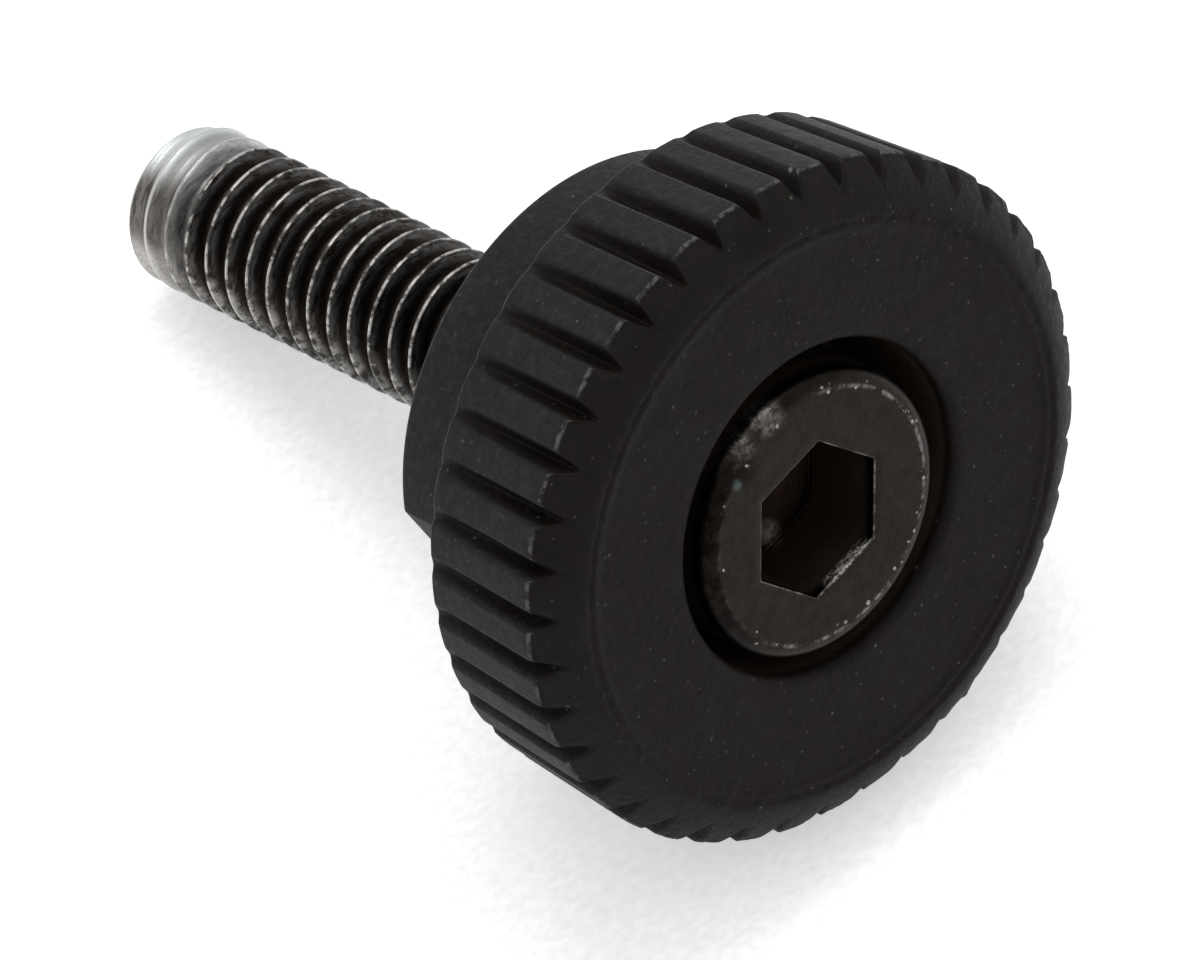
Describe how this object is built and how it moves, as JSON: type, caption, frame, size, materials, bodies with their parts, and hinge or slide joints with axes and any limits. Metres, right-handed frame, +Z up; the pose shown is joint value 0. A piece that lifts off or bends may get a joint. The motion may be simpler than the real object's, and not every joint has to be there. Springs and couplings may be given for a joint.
{
  "type": "thumb screw",
  "caption": "Thumb screw: a black round knob with a ridged rim and a hub behind it, carried on a socket head cap screw that sits in a recess in the knob's face.",
  "frame": {"origin": "on the screw's axis, where its thread begins, 0.35 mm behind the back face of the knob's hub", "axes": "+Z up with the part lying at rest on two ridges and the end of the shank, the knob's face looks to -Y and a little up, the shank points to +Y and a little down"},
  "size_m": [0.0165, 0.0233, 0.0165],
  "materials": {
    "knob": "matte black moulded plastic, lightly dusty, with grazed ridge ends",
    "screw": "black oxide steel, worn to bare metal on the thread crests and the end"
  },
  "bodies": {
    "root": {"knob": "knob", "screw": "screw"}
  },
  "joints": []
}
